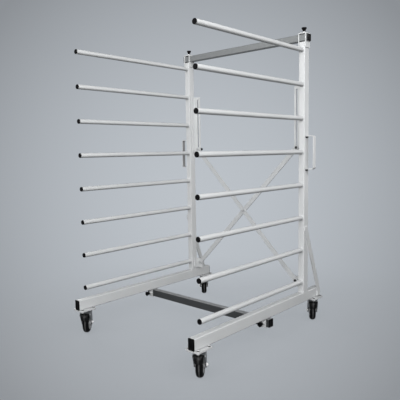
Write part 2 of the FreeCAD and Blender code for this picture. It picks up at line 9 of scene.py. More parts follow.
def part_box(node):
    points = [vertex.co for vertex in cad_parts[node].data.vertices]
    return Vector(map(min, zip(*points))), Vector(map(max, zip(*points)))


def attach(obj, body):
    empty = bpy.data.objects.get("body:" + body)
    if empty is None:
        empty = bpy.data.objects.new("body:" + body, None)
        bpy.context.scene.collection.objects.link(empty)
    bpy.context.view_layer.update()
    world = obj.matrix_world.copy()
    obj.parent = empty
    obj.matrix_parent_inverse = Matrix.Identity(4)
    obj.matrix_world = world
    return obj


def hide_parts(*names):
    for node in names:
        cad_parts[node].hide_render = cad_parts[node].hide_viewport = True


# Looks of a drying rack trolley: powder-coated side frames, a galvanised and a dark crossbar, black caps,
# knobs and tyres, and zinc-plated casters. Metres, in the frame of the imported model.

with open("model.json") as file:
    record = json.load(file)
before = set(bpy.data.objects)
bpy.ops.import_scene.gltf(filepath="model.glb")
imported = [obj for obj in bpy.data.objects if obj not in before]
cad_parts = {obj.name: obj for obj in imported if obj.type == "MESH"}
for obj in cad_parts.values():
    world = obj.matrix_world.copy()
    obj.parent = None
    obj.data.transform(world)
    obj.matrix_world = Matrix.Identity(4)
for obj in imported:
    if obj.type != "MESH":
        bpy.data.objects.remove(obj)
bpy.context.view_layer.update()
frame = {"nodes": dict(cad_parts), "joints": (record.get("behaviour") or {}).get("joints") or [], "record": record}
nodes = frame["nodes"]
joints = {joint["name"]: joint for joint in frame["joints"]}
sides = ("left", "right")
corners = ("front_right", "front_left", "rear_right", "rear_left")
arm_levels = range(1, 9)
mm = 0.001

# Places of painted shade

bolt_head_z = 166 * mm       # middle of the bolt heads on the mounting plates
bolt_head_half = 2.5 * mm
rail_low, rail_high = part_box("right_guide_rail")
slot_x = abs(joints["scissor_fold"]["pos_m"][0])
slot_half = 5.3 * mm         # half the slot's width, and a little of the rail beside it
slot_margin = 22 * mm        # from the rail's lower end to the pin at rest
slot_middle_z = (rail_low.z + rail_high.z) / 2
slot_reach = (rail_high.z - rail_low.z) / 2 - slot_margin + slot_half
inward_limit = -0.15            # a normal's X times its place's X is less on faces that look inward


# Material helpers

noise_low = 0.3              # most values of a noise lie between these two
noise_high = 0.7
bump_depth = 0.2 * mm
edge_samples = 4


def material_base(name):
    """Empty node material with its shader and its object coordinates."""
    material = bpy.data.materials.new(name)
    material.use_nodes = True
    tree = material.node_tree
    shader = tree.nodes["Principled BSDF"]
    coordinates = tree.nodes.new("ShaderNodeTexCoord")
    return material, tree, shader, coordinates.outputs["Object"]


def noise(tree, place, scale, detail=3.0):
    """Noise value over the surface, with features of about 1 / scale metres."""
    node = tree.nodes.new("ShaderNodeTexNoise")
    node.inputs["Scale"].default_value = scale
    node.inputs["Detail"].default_value = detail
    tree.links.new(place, node.inputs["Vector"])
    return node.outputs["Fac"]


def ramp(tree, value, low, high, start=noise_low, end=noise_high):
    """Colour from low to high as the value goes from start to end."""
    node = tree.nodes.new("ShaderNodeValToRGB")
    node.color_ramp.elements[0].position = start
    node.color_ramp.elements[1].position = end
    node.color_ramp.elements[0].color = (*low, 1)
    node.color_ramp.elements[1].color = (*high, 1)
    tree.links.new(value, node.inputs["Fac"])
    return node.outputs["Color"]


def span(tree, value, low, high):
    """Number from low to high over the usual range of a noise."""
    node = tree.nodes.new("ShaderNodeMapRange")
    node.inputs["From Min"].default_value = noise_low
    node.inputs["From Max"].default_value = noise_high
    node.inputs["To Min"].default_value = low
    node.inputs["To Max"].default_value = high
    tree.links.new(value, node.inputs["Value"])
    return node.outputs["Result"]


def surface_bump(tree, shader, height, strength, edge_radius=0.0):
    """Bump on the shader's normal, over edges that look rounded by edge_radius."""
    bump = tree.nodes.new("ShaderNodeBump")
    bump.inputs["Strength"].default_value = strength
    bump.inputs["Distance"].default_value = bump_depth
    tree.links.new(height, bump.inputs["Height"])
    if edge_radius:
        edge = tree.nodes.new("ShaderNodeBevel")
        edge.samples = edge_samples
        edge.inputs["Radius"].default_value = edge_radius
        tree.links.new(edge.outputs["Normal"], bump.inputs["Normal"])
    tree.links.new(bump.outputs["Normal"], shader.inputs["Normal"])


def axes_of(tree, vector):
    """The three numbers of a vector."""
    node = tree.nodes.new("ShaderNodeSeparateXYZ")
    tree.links.new(vector, node.inputs["Vector"])
    return node.outputs


def worked_out(tree, operation, first, second, third=0.0):
    """A number from one operation on a value and another value or fixed numbers."""
    node = tree.nodes.new("ShaderNodeMath")
    node.operation = operation
    tree.links.new(first, node.inputs[0])
    if isinstance(second, float):
        node.inputs[1].default_value = second
        node.inputs[2].default_value = third
    else:
        tree.links.new(second, node.inputs[1])
    return node.outputs["Value"]


def mixed(tree, colour, other, amount):
    """A colour that turns to another, varying or fixed, as an amount goes from 0 to 1."""
    blend = tree.nodes.new("ShaderNodeMix")
    blend.data_type = "RGBA"
    tree.links.new(amount, blend.inputs["Factor"])
    tree.links.new(colour, blend.inputs["A"])
    if isinstance(other, tuple):
        blend.inputs["B"].default_value = (*other, 1)
    else:
        tree.links.new(other, blend.inputs["B"])
    return blend.outputs["Result"]


def facing_up(tree, start, end):
    """Number from 0 to 1 as the upward part of the surface's normal goes from start to end."""
    surface = tree.nodes.new("ShaderNodeNewGeometry")
    node = tree.nodes.new("ShaderNodeMapRange")
    node.inputs["From Min"].default_value = start
    node.inputs["From Max"].default_value = end
    tree.links.new(axes_of(tree, surface.outputs["Normal"])["Z"], node.inputs["Value"])
    return node.outputs["Result"]


def cool_grey(value):
    """Grey with a trace of blue."""
    return (value, value, 1.02 * value)


def shaded(colours, share):
    """Colours at a share of their brightness."""
    return [[share * value for value in colour] for colour in colours]


# Masks of painted shade

def slot_shade_mask(tree, place):
    """One in the guide slots, as painted shade down the slots, and nothing elsewhere."""
    spot = axes_of(tree, place)
    aside = worked_out(tree, "ABSOLUTE", spot["X"], 0.0)
    across = worked_out(tree, "COMPARE", aside, slot_x, slot_half)
    along = worked_out(tree, "COMPARE", spot["Z"], slot_middle_z, slot_reach)
    return worked_out(tree, "MULTIPLY", across, along)


def grip_shade_mask(tree, place):
    """One on faces that look toward the middle of the trolley: painted shade on a handle's inner faces."""
    surface = tree.nodes.new("ShaderNodeNewGeometry")
    sideways = axes_of(tree, surface.outputs["Normal"])["X"]
    outward = worked_out(tree, "MULTIPLY", sideways, axes_of(tree, place)["X"])
    return worked_out(tree, "LESS_THAN", outward, inward_limit)


def pin_shade_mask(tree, place):
    """One behind the webs and on the right-hand pins, for painted shade there, and nothing elsewhere."""
    spot = axes_of(tree, place)
    behind = worked_out(tree, "GREATER_THAN", spot["Y"], rail_high.y)
    aside = worked_out(tree, "GREATER_THAN", spot["X"], slot_x / 2)
    return worked_out(tree, "MAXIMUM", behind, aside)


# Materials

def powder_coat(name, colours, underside_shade=0.55, shade_mask=None, grey=0.0):
    """Light grey powder coat with a fine orange peel, with painted shade on level tops and on undersides."""
    material, tree, shader, place = material_base(name)
    # Painted shade: level tops a little darker, undersides darker by the given share, chosen by the normal's
    # slope.
    level_tops = facing_up(tree, 0.97, 0.999)
    undersides = facing_up(tree, -0.2, -0.8)
    top_shade_share = 0.85
    blotches = noise(tree, place, 30.0)
    colour = ramp(tree, noise(tree, place, 5.0), *colours)
    colour = mixed(tree, colour, ramp(tree, blotches, *shaded(colours, top_shade_share)), level_tops)
    colour = mixed(tree, colour, ramp(tree, blotches, *shaded(colours, underside_shade)), undersides)
    # Painted shade where the mask says, in a fixed grey.
    if shade_mask:
        colour = mixed(tree, colour, cool_grey(grey), shade_mask(tree, place))
    tree.links.new(colour, shader.inputs["Base Color"])
    tree.links.new(span(tree, noise(tree, place, 160.0), 0.28, 0.36), shader.inputs["Roughness"])
    surface_bump(tree, shader, noise(tree, place, 900.0, 2.0), 0.12, 1.2 * mm)
    return material


def galvanised():
    """Bare zinc-coated steel with a faint spangle."""
    material, tree, shader, place = material_base("galvanised_steel")
    cells = tree.nodes.new("ShaderNodeTexVoronoi")
    cells.inputs["Scale"].default_value = 130.0
    tree.links.new(place, cells.inputs["Vector"])
    grey = tree.nodes.new("ShaderNodeSeparateColor")
    tree.links.new(cells.outputs["Color"], grey.inputs["Color"])
    spangle = grey.outputs["Red"]
    colour = ramp(tree, spangle, (0.190, 0.199, 0.202), (0.210, 0.219, 0.222), 0.0, 1.0)
    tree.links.new(colour, shader.inputs["Base Color"])
    tree.links.new(span(tree, spangle, 0.44, 0.50), shader.inputs["Roughness"])
    shader.inputs["Metallic"].default_value = 0.2
    surface_bump(tree, shader, noise(tree, place, 400.0), 0.1, 1.0 * mm)
    return material


def dark_steel():
    """Dark steel with faint streaks along the bar, its upper face made lighter: painted light from above, and
    dust.
    """
    material, tree, shader, place = material_base("dark_steel")
    stretch = tree.nodes.new("ShaderNodeMapping")
    stretch.inputs["Scale"].default_value = (0.06, 1.0, 1.0)
    tree.links.new(place, stretch.inputs["Vector"])
    streaks = noise(tree, stretch.outputs["Vector"], 220.0)
    colour = ramp(tree, streaks, (0.030, 0.032, 0.033), (0.044, 0.046, 0.048))
    # Lighter upper face: painted light from above, and dust.
    dust_and_sheen = ramp(tree, noise(tree, place, 30.0), (0.20, 0.205, 0.21), (0.25, 0.255, 0.26))
    tree.links.new(mixed(tree, colour, dust_and_sheen, facing_up(tree, 0.6, 0.95)), shader.inputs["Base Color"])
    tree.links.new(span(tree, streaks, 0.36, 0.46), shader.inputs["Roughness"])
    surface_bump(tree, shader, streaks, 0.08, 1.0 * mm)
    return material


def black_plastic():
    """Matte moulded black plastic with a fine grain."""
    material, tree, shader, place = material_base("black_plastic")
    colour = ramp(tree, noise(tree, place, 40.0), (0.002, 0.002, 0.0025), (0.005, 0.005, 0.0055))
    tree.links.new(colour, shader.inputs["Base Color"])
    tree.links.new(span(tree, noise(tree, place, 120.0), 0.42, 0.55), shader.inputs["Roughness"])
    shader.inputs["Specular IOR Level"].default_value = 0.05
    surface_bump(tree, shader, noise(tree, place, 2200.0, 1.0), 0.15, 0.6 * mm)
    return material


def streaked_black(name, rough, gloss, streak_grey):
    """Black with a painted highlight: grey along a streak that the mesh's attribute marks."""
    material, tree, shader, place = material_base(name)
    black = ramp(tree, noise(tree, place, 55.0, 5.0), (0.002, 0.002, 0.0025), (0.007, 0.007, 0.0075))
    # Painted highlight streak, read from the mesh's attribute.
    highlight_streak = tree.nodes.new("ShaderNodeAttribute")
    highlight_streak.attribute_name = "highlight_streak"
    patches = span(tree, noise(tree, place, 320.0, 4.0), 0.7, 1.1)
    amount = worked_out(tree, "MULTIPLY", highlight_streak.outputs["Fac"], patches)
    tree.links.new(mixed(tree, black, cool_grey(streak_grey), amount), shader.inputs["Base Color"])
    tree.links.new(span(tree, noise(tree, place, 200.0), rough, rough + 0.1), shader.inputs["Roughness"])
    shader.inputs["Specular IOR Level"].default_value = gloss
    surface_bump(tree, shader, noise(tree, place, 1500.0), 0.1)
    return material


def hub_plastic():
    """Light grey moulded hub."""
    material, tree, shader, place = material_base("hub_plastic")
    colour = ramp(tree, noise(tree, place, 60.0), (0.36, 0.37, 0.38), (0.43, 0.44, 0.45))
    tree.links.new(colour, shader.inputs["Base Color"])
    tree.links.new(span(tree, noise(tree, place, 150.0), 0.4, 0.55), shader.inputs["Roughness"])
    surface_bump(tree, shader, noise(tree, place, 1800.0), 0.1)
    return material


def zinc_plate(name, colours, rough, metallic):
    """Zinc-plated steel, slightly blotched, with painted shade round the sides of the bolt heads."""
    material, tree, shader, place = material_base(name)
    bolt_side_shade = (0.09, 0.09, 0.093)
    clean = ramp(tree, noise(tree, place, 70.0), *colours)
    # Painted shade on the sides of the bolt heads; faces that look up keep the clean colour.
    bolt_heads = worked_out(tree, "COMPARE", axes_of(tree, place)["Z"], bolt_head_z, bolt_head_half)
    shaded_bolt_sides = mixed(tree, clean, bolt_side_shade, bolt_heads)
    tree.links.new(mixed(tree, shaded_bolt_sides, clean, facing_up(tree, 0.5, 0.8)), shader.inputs["Base Color"])
    roughness = span(tree, noise(tree, place, 260.0), rough, rough + 0.12)
    tree.links.new(roughness, shader.inputs["Roughness"])
    shader.inputs["Metallic"].default_value = metallic
    surface_bump(tree, shader, noise(tree, place, 700.0), 0.08, 0.8 * mm)
    return material


# Finishes of the record's slots, and of pieces that differ from their slot

paint_range = ((0.60, 0.615, 0.62), (0.65, 0.66, 0.665))
brace_range = ((0.54, 0.555, 0.565), (0.58, 0.593, 0.60))
pin_range = ((0.42, 0.43, 0.44), (0.47, 0.48, 0.49))
zinc_range = ((0.78, 0.785, 0.79), (0.86, 0.865, 0.87))
# Painted shade and painted highlight: a darker and a lighter copy of the zinc.
shaded_zinc_range = ((0.15, 0.155, 0.16), (0.21, 0.215, 0.22))
lit_zinc_range = ((0.90, 0.905, 0.91), (0.94, 0.945, 0.95))

finishes = {
    "paint": powder_coat("powder_coat", paint_range),
    "top_crossbar": galvanised(),
    "bottom_crossbar": dark_steel(),
    "plugs": black_plastic(),
    # Pedals and tyres: black with a painted highlight streak.
    "pedals": streaked_black("pedal_plastic", rough=0.30, gloss=0.12, streak_grey=0.05),
    "wheels": streaked_black("tyre_rubber", rough=0.42, gloss=0.05, streak_grey=0.12),
    "zinc": zinc_plate("zinc_plate", zinc_range, rough=0.24, metallic=0.4),
}
finishes["knobs"] = finishes["plugs"]
finishes["fasteners"] = finishes["zinc"]
hub_finish = hub_plastic()
# The forks take the darker zinc as painted shade, the axle bolts and pins the lighter one as painted highlight.
fork_finish = zinc_plate("shaded_zinc", shaded_zinc_range, rough=0.32, metallic=0.85)
axle_finish = zinc_plate("lit_zinc", lit_zinc_range, rough=0.2, metallic=0.0)
special_finishes = {
    # Painted shade: the braces' undersides nearly black.
    "brace": powder_coat("brace_coat", brace_range, underside_shade=0.04),
    # Painted shade on parts of the brace pins.
    "brace_pins": powder_coat("pin_coat", pin_range, shade_mask=pin_shade_mask, grey=0.02),
    # Painted shade in the guide slots.
    "guide_rail": powder_coat("rail_coat", paint_range, shade_mask=slot_shade_mask, grey=0.06),
    # Painted shade on the handles' inner faces.
    "handle": powder_coat("handle_coat", paint_range, shade_mask=grip_shade_mask, grey=0.27),
}

for subpart in frame["record"]["subparts"]:
    node_mesh = nodes[subpart["node"]].data
    node_mesh.materials.clear()
    node_mesh.materials.append(finishes[subpart["material_slot"]])
for node_name, node in nodes.items():
    special = special_finishes.get(node_name.split("_", 1)[-1])
    if special:
        node.data.materials[0] = special


# Mesh helpers

crease_angle = math.radians(38)


def mark_highlight_streak(mesh, place, half_width):
    """Attribute for a painted highlight streak: one on the plane Y = 0 of a placing matrix, fading to nothing
    beside it.
    """
    layer = mesh.verts.layers.float.new("highlight_streak")
    to_place = place.inverted()
    for vert in mesh.verts:
        across = (to_place @ vert.co).y / half_width
        vert[layer] = math.exp(-across * across)


def add_piece(name, mesh, finish, body, replaced=(), bevel=0.0):
    """New object from a bmesh, riding on a body."""
    bmesh.ops.recalc_face_normals(mesh, faces=mesh.faces)
    for face in mesh.faces:
        face.smooth = True
    for edge in mesh.edges:
        edge.smooth = len(edge.link_faces) == 2 and edge.calc_face_angle() < crease_angle
    data = bpy.data.meshes.new(name)
    mesh.to_mesh(data)
    mesh.free()
    data.materials.append(finish)
    piece = bpy.data.objects.new(name, data)
    bpy.context.scene.collection.objects.link(piece)
    if bevel:
        modifier = piece.modifiers.new("edges", "BEVEL")
        modifier.width = bevel
        modifier.segments = 2
        modifier.limit_method = "ANGLE"
        modifier.angle_limit = crease_angle
    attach(piece, body)
    for node in replaced:
        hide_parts(node)
    return piece


def loft(mesh, loops, ring=False):
    """Skin over loops of equal length. The ends are capped, unless the loops close into a ring."""
    rows = [[mesh.verts.new(point) for point in loop] for loop in loops]
    count = len(rows[0])
    pairs = list(zip(rows, rows[1:]))
    if ring:
        pairs.append((rows[-1], rows[0]))
    for lower, upper in pairs:
        for i in range(count):
            j = (i + 1) % count
            mesh.faces.new((lower[i], lower[j], upper[j], upper[i]))
    if not ring:
        mesh.faces.new(rows[0][::-1])
        mesh.faces.new(rows[-1])


def shell(mesh, rows):
    """Closed plate from rows of (outer, inner) points."""
    outer = [[mesh.verts.new(pair[0]) for pair in row] for row in rows]
    inner = [[mesh.verts.new(pair[1]) for pair in row] for row in rows]
    row_end = len(rows) - 1
    column_end = len(rows[0]) - 1
    for i in range(row_end):
        for side in (outer, inner):
            for j in range(column_end):
                mesh.faces.new((side[i][j], side[i][j + 1], side[i + 1][j + 1], side[i + 1][j]))
        for j in (0, column_end):
            mesh.faces.new((outer[i][j], outer[i + 1][j], inner[i + 1][j], inner[i][j]))
    for j in range(column_end):
        for i in (0, row_end):
            mesh.faces.new((outer[i][j], outer[i][j + 1], inner[i][j + 1], inner[i][j]))


def in_metres(pairs):
    """Pairs of millimetres as metres."""
    return [(first * mm, second * mm) for first, second in pairs]


def middle_of(low, high):
    """Middle of a box."""
    return Vector([(first + last) / 2 for first, last in zip(low, high)])


def circle(radius, height, count):
    """Points of a circle about Z."""
    turns = [2 * math.pi * i / count for i in range(count)]
    return [Vector((radius * math.cos(t), radius * math.sin(t), height)) for t in turns]


def lathe(mesh, profile, place, count=24, ring=False):
    """Turned form about the Z axis of a placing matrix, from (radius, height) points."""
    loft(mesh, [[place @ point for point in circle(r, h, count)] for r, h in profile], ring)


def rounded_loop(width, depth, corner, height, steps=5):
    """Points of a rounded rectangle about Z."""
    points = []
    for turn in range(4):
        along, across = (width, depth) if turn % 2 == 0 else (depth, width)
        centre = Vector((along / 2 - corner, across / 2 - corner, 0))
        quarter = Matrix.Rotation(math.pi / 2 * turn, 3, "Z")
        for step in range(steps + 1):
            angle = math.pi / 2 * step / steps
            point = quarter @ (centre + corner * Vector((math.cos(angle), math.sin(angle), 0)))
            points.append(Vector((point.x, point.y, height)))
    return points


def prism(mesh, outline, start, end, place):
    """Plate from an outline of (x, z) points, thick along Y from start to end."""
    loft(mesh, [[place @ Vector((x, y, z)) for x, z in outline] for y in (start, end)])


def arc(centre, radius, first, last, steps):
    """Points of an arc in degrees, as (x, z)."""
    angles = [math.radians(first + (last - first) * i / steps) for i in range(steps + 1)]
    return [(centre[0] + radius * math.cos(a), centre[1] + radius * math.sin(a)) for a in angles]


def axis_place(origin, axis):
    """Placing matrix whose Z axis points along an axis."""
    return Matrix.Translation(origin) @ axis.to_track_quat("Z", "Y").to_matrix().to_4x4()


# Weld beads where the painted pieces are joined

weld_radius = 2.2 * mm
weld_ripple = 4 * mm         # from one swelling of a bead to the next
weld_swell = 0.16            # share by which a bead swells and shrinks
weld_sides = 8
weld_step = 1.3 * mm         # between the loops of a straight bead
weld_inset = 4 * mm          # from a tube's corner to the end of a bead
arm_weld_points = 72
arm_weld_gap = 0.6 * mm      # from an arm's skin to the middle of its bead
stay_width = 30 * mm
stay_upper_weld = 21 * mm
stay_lower_weld = 30 * mm
handle_plate = 5 * mm
handle_weld_radius = 1.6 * mm
# Black beads that paint the shadow under each end of a handle.
shadow_bead_radius = 5.5 * mm
shadow_bead_drop = 3.5 * mm       # from the underside of a handle's end to the middle of the bead
stitch_count = 4
stitch_length = 35 * mm
stitch_margin = 12 * mm      # from the rail's ends to the outer stitches
lug_margin = 6 * mm


def bead(mesh, points, radius, closed=False):
    """Weld bead along points: a round strip whose thickness ripples every few millimetres."""
    loops = []
    run = 0.0
    for i, point in enumerate(points):
        before = points[i - 1] if i or closed else point
        after = points[(i + 1) % len(points)] if i + 1 < len(points) or closed else point
        along = (after - before).normalized()
        side = along.orthogonal().normalized()
        other = along.cross(side)
        swell = radius * (1 + weld_swell * math.sin(2 * math.pi * run / weld_ripple))
        turns = [2 * math.pi * k / weld_sides for k in range(weld_sides)]
        loops.append([point + swell * (math.cos(t) * side + math.sin(t) * other) for t in turns])
        run += (after - point).length
    loft(mesh, loops, closed)


def straight_bead(mesh, start, end, radius=weld_radius):
    """Weld bead along a straight stretch."""
    first = Vector(start)
    last = Vector(end)
    count = max(2, round((last - first).length / weld_step))
    bead(mesh, [first.lerp(last, i / count) for i in range(count + 1)], radius)


def arm_welds(mesh, side, post_front_y):
    """Beads round the roots of the arms."""
    upright = Matrix.Rotation(math.pi / 2, 4, "X")
    for level in arm_levels:
        low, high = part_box(f"{side}_arm_{level}")
        middle = middle_of(low, high)
        root = Vector((middle.x, post_front_y, middle.z))
        ring = circle((high.x - low.x) / 2 + arm_weld_gap, 0, arm_weld_points)
        bead(mesh, [root + upright @ point for point in ring], weld_radius, closed=True)


def stay_welds(mesh, side, outer_x):
    """Beads round the stay's upper end and along the front edge of its foot."""
    low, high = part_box(f"{side}_stay")
    front_y = low.y
    rear_y = low.y + stay_width
    for y in (front_y, rear_y):
        straight_bead(mesh, (outer_x, y, high.z - stay_upper_weld), (outer_x, y, high.z))
    straight_bead(mesh, (outer_x, front_y, high.z), (outer_x, rear_y, high.z))
    foot_y = high.y - stay_width
    straight_bead(mesh, (outer_x, foot_y, low.z), (outer_x, foot_y, low.z + stay_lower_weld))


def handle_welds_and_shadows(mesh, side, outer_x):
    """Painted beads on top of the handle's ends, and thick black ones under them as painted shadow."""
    low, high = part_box(f"{side}_handle")
    for z in (low.z + handle_plate, high.z):
        straight_bead(mesh, (outer_x, low.y, z), (outer_x, high.y, z), handle_weld_radius)
    # Painted shadow: black beads under the handle's ends.
    shadow_beads = bmesh.new()
    for z in (low.z - shadow_bead_drop, high.z - handle_plate - shadow_bead_drop):
        straight_bead(shadow_beads, (outer_x, low.y, z), (outer_x, high.y, z), shadow_bead_radius)
    add_piece(f"{side}_handle_welds_and_shadows", shadow_beads, finishes["plugs"], f"{side}_frame")


def rail_welds(mesh, side, inner_x):
    """Stitches along the guide rail and one bead along the pivot bracket."""
    low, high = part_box(f"{side}_guide_rail")
    spacing = (high.z - low.z - stitch_length - 2 * stitch_margin) / (stitch_count - 1)
    for k in range(stitch_count):
        start_z = low.z + stitch_margin + k * spacing
        straight_bead(mesh, (inner_x, low.y, start_z), (inner_x, low.y, start_z + stitch_length))
    low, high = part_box(f"{side}_pivot_bracket")
    straight_bead(mesh, (inner_x, low.y, low.z + lug_margin), (inner_x, low.y, high.z - lug_margin))


def frame_welds(side):
    """All beads of a side frame."""
    mesh = bmesh.new()
    low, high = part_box(f"{side}_post")
    outer_x, inner_x = (high.x, low.x) if side == "right" else (low.x, high.x)
    arm_welds(mesh, side, low.y)
    for y in (low.y, high.y):
        straight_bead(mesh, (low.x + weld_inset, y, low.z), (high.x - weld_inset, y, low.z))
    stay_welds(mesh, side, outer_x)
    handle_welds_and_shadows(mesh, side, outer_x)
    head_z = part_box(f"{side}_head_bracket")[0].z
    for x in (outer_x, inner_x):
        straight_bead(mesh, (x, low.y + weld_inset, head_z), (x, high.y - weld_inset, head_z))
    rail_welds(mesh, side, inner_x)
    add_piece(f"{side}_welds", mesh, finishes["paint"], f"{side}_frame")


# Caps and plugs

arm_cap_depth = 5 * mm
beam_height = 60 * mm
beam_corner = 5 * mm
beam_flange = 3 * mm
post_corner = 4 * mm
post_flange = 5 * mm
bar_corner = 2 * mm
bar_flange = 4 * mm
pin_cap_gap = 1.0 * mm       # from the rail's web to the cap nut


def moulded_plug(mesh, width, depth, corner, flange, place):
    """Rectangular tube plug with a rounded rim and a shallow panel."""
    rim = 0.8 * mm
    panel = 5 * mm
    sink = 0.7 * mm
    steps = [(0, 0), (0, flange - rim), (0.3 * rim, flange - 0.3 * rim), (rim, flange), (panel, flange),
             (panel + sink, flange - sink)]
    loops = [rounded_loop(width - 2 * d, depth - 2 * d, max(corner - d, mm), h) for d, h in steps]
    loft(mesh, [[place @ point for point in loop] for loop in loops])


def arm_cap(mesh, low, high):
    """Cap on an arm's tip, rounded at its rim and sunk in the middle."""
    radius = (high.x - low.x) / 2
    middle = middle_of(low, high)
    tip = Vector((middle.x, low.y, middle.z))
    sunk = arm_cap_depth - 0.5 * mm
    profile = [(radius, 0), (radius, 0.55 * arm_cap_depth), (radius - 0.3 * mm, 0.78 * arm_cap_depth),
               (radius - 1.0 * mm, 0.93 * arm_cap_depth), (radius - 2.2 * mm, arm_cap_depth),
               (radius - 4.6 * mm, arm_cap_depth), (radius - 5.2 * mm, sunk), (0.6 * mm, sunk)]
    lathe(mesh, profile, axis_place(tip, Vector((0, -1, 0))), count=36)


def side_plugs(side):
    """The arms' caps, the beam's plugs and the post's plug."""
    mesh = bmesh.new()
    for level in arm_levels:
        arm_cap(mesh, *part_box(f"{side}_arm_{level}"))
    post_low, post_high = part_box(f"{side}_post")
    plug_low, plug_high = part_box(f"{side}_end_plugs")
    middle = middle_of(post_low, post_high)
    width = post_high.x - post_low.x
    beam_middle_z = post_low.z - beam_height / 2
    for y, axis in ((plug_low.y + beam_flange, -1), (plug_high.y - beam_flange, 1)):
        place = axis_place(Vector((middle.x, y, beam_middle_z)), Vector((0, axis, 0)))
        moulded_plug(mesh, width, beam_height, beam_corner, beam_flange, place)
    place = Matrix.Translation((middle.x, middle.y, post_high.z))
    moulded_plug(mesh, width, post_high.y - post_low.y, post_corner, post_flange, place)
    add_piece(f"{side}_caps", mesh, finishes["plugs"], f"{side}_frame", [f"{side}_end_plugs"])


def bar_plugs():
    """Plugs in the ends of both crossbars."""
    mesh = bmesh.new()
    for bar in ("top_crossbar", "bottom_crossbar"):
        low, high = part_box(bar)
        middle = middle_of(low, high)
        for x, axis in ((low.x, -1), (high.x, 1)):
            place = axis_place(Vector((x, middle.y, middle.z)), Vector((axis, 0, 0)))
            moulded_plug(mesh, high.y - low.y, high.z - low.z, bar_corner, bar_flange, place)
    add_piece("bar_plugs", mesh, finishes["plugs"], "left_frame", ["crossbar_plugs"])


def pin_caps():
    """Black cap nuts behind the guide rails, on the upper pins of the braces."""
    profile = in_metres([(9.0, 0), (9.0, 29.0), (8.0, 31.5), (6.0, 32.6), (1.0, 33.0)])
    for brace, side, sign in (("front_brace", "left", -1), ("rear_brace", "right", 1)):
        low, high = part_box(f"{side}_guide_rail")
        pin = Vector((sign * slot_x, high.y + pin_cap_gap, low.z + slot_margin))
        mesh = bmesh.new()
        lathe(mesh, profile, axis_place(pin, Vector((0, 1, 0))))
        add_piece(f"{brace}_pin_cap", mesh, finishes["plugs"], brace)


# Star knobs

knob_gap = 0.3 * mm          # from the boss to the knob
knob_lobes = 6
knob_points = 96
thread_pitch = 1.5 * mm
thread_crest = 5.0 * mm
thread_root = 4.4 * mm


def star_loop(radius, swell, height):
    """Loop whose radius swells and dips round the knob."""
    turns = [2 * math.pi * i / knob_points for i in range(knob_points)]
    reach = [radius - swell * math.cos(knob_lobes * t) for t in turns]
    return [Vector((r * math.cos(t), r * math.sin(t), height)) for r, t in zip(reach, turns)]


def knob(name, axis):
    """Star knob that widens from its neck to a crowned rim, with a threaded stud."""
    base = Vector(joints[f"{name}_turn"]["pos_m"]) + knob_gap * axis
    place = axis_place(base, axis)
    # Radius, swell and height of each ring, in millimetres
    rings = [(8.0, 0, 0), (8.3, 0, 5.0), (8.9, 0.2, 7.5), (10.4, 0.7, 11.5), (12.2, 1.0, 15.5),
             (13.8, 1.2, 19.0), (14.3, 1.2, 20.5), (14.3, 1.2, 22.6), (13.9, 1.2, 23.8),
             (13.0, 1.1, 24.6), (11.4, 0.9, 24.9), (8.4, 0.3, 25.0), (7.6, 0, 24.5), (1.0, 0, 24.3)]
    star = bmesh.new()
    loops = [star_loop(r * mm, swell * mm, h * mm) for r, swell, h in rings]
    loft(star, [[place @ point for point in loop] for loop in loops])
    add_piece(f"{name}_star", star, finishes["knobs"], name, [name])
    depth = max((base - corner).dot(axis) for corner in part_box(name))
    profile = []
    for k in range(int(depth / thread_pitch)):
        start = k * thread_pitch - depth
        profile += [(thread_crest, start + 0.4 * mm), (thread_root, start + 1.1 * mm)]
    profile.append((thread_root, 0.5 * mm))
    stud = bmesh.new()
    lathe(stud, profile, place)
    add_piece(f"{name}_stud", stud, finishes["fasteners"], name)


# Casters

rim_radius = 44 * mm         # where the tyre meets the hub
tyre_half = 19 * mm
tread_power = 0.8            # below one makes the tread flatter than an ellipse
# Half width of the painted highlight streak on the tread.
tyre_highlight_streak_half = 2.6 * mm
wheel_points = 72
rib_count = 6
rib_half = 1.6 * mm
fork_half = 31 * mm
fork_plate = 4 * mm
fork_front = 22 * mm
fork_rear = 44 * mm
fork_ear = 15 * mm
fork_bend = 9 * mm
fork_shoulder = 16 * mm
fork_emboss = 1.2 * mm       # height of the raised field on each leg
fork_edge = 0.9 * mm
head_height = 14.5 * mm
axle_radius = 5 * mm
axle_flat = 16 * mm          # across the nut's flats
axle_nut = 6 * mm
axle_thread = 3 * mm         # bolt's end past its nut
axle_head = 2.4 * mm
pedal_pin_radius = 3.0 * mm
pedal_half = 23.0 * mm
pedal_hub_half = 26.7 * mm
pedal_hub_radius = 6 * mm
pedal_plate = 3 * mm
pedal_drawn_in = 16 * mm     # sets how far the hood curves in toward its sides
# Half width of the painted highlight streak on the hood.
pedal_highlight_streak_half = 3.0 * mm
pedal_edge = 0.8 * mm
hood_radius = 30.5 * mm
across_axis = Vector((0, 1, 0))


def caster_place(corner):
    """Placing matrix of a caster: Z is the kingpin, the wheel trails to X and the axle lies along Y."""
    pivot = joints[f"{corner}_swivel"]["pos_m"]
    axle = joints[f"{corner}_roll"]["axis"]
    heading = math.atan2(-axle[0], axle[1])
    return Matrix.Translation((pivot[0], pivot[1], 0)) @ Matrix.Rotation(heading, 4, "Z")


def joint_in(place, name):
    """Place of a joint, seen from a placing matrix."""
    return place.inverted() @ Vector(joints[name]["pos_m"])


